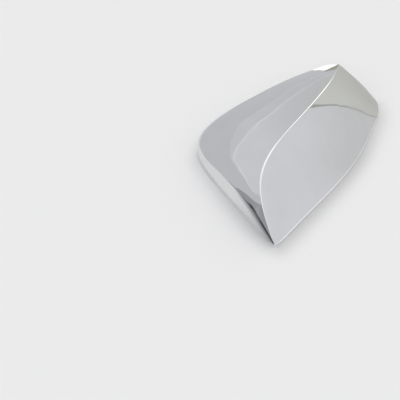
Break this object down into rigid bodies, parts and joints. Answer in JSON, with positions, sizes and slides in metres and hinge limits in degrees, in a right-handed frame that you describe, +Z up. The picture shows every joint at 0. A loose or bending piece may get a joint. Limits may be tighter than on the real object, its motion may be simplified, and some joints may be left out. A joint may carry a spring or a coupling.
{
  "type": "wing mirror cover",
  "caption": "Chrome-plated wing mirror cover: a thin curved shell with a long crest and an arched open end, with foam tape strips inside.",
  "frame": {"origin": "on the rim's flat underside, in the pointed tip, 2 mm in from the tip's outer edges each way", "axes": "+X from the pointed tip along the straight front rim to the arched end, +Y from the front rim to the far side, +Z up from the rim plane; the hollow opens along -Z"},
  "size_m": [0.2443, 0.143, 0.0432],
  "materials": {
    "chrome_plating": "polished chrome plating with faint hairline scratches",
    "foam_tape": "matte closed-cell foam tape"
  },
  "bodies": {
    "root": {"cover_shell": "chrome_plating", "tape_front_tip": "foam_tape", "tape_front_end": "foam_tape", "tape_side": "foam_tape", "tape_far_corner": "foam_tape", "tape_far_end": "foam_tape", "tape_arch": "foam_tape"}
  },
  "joints": []
}
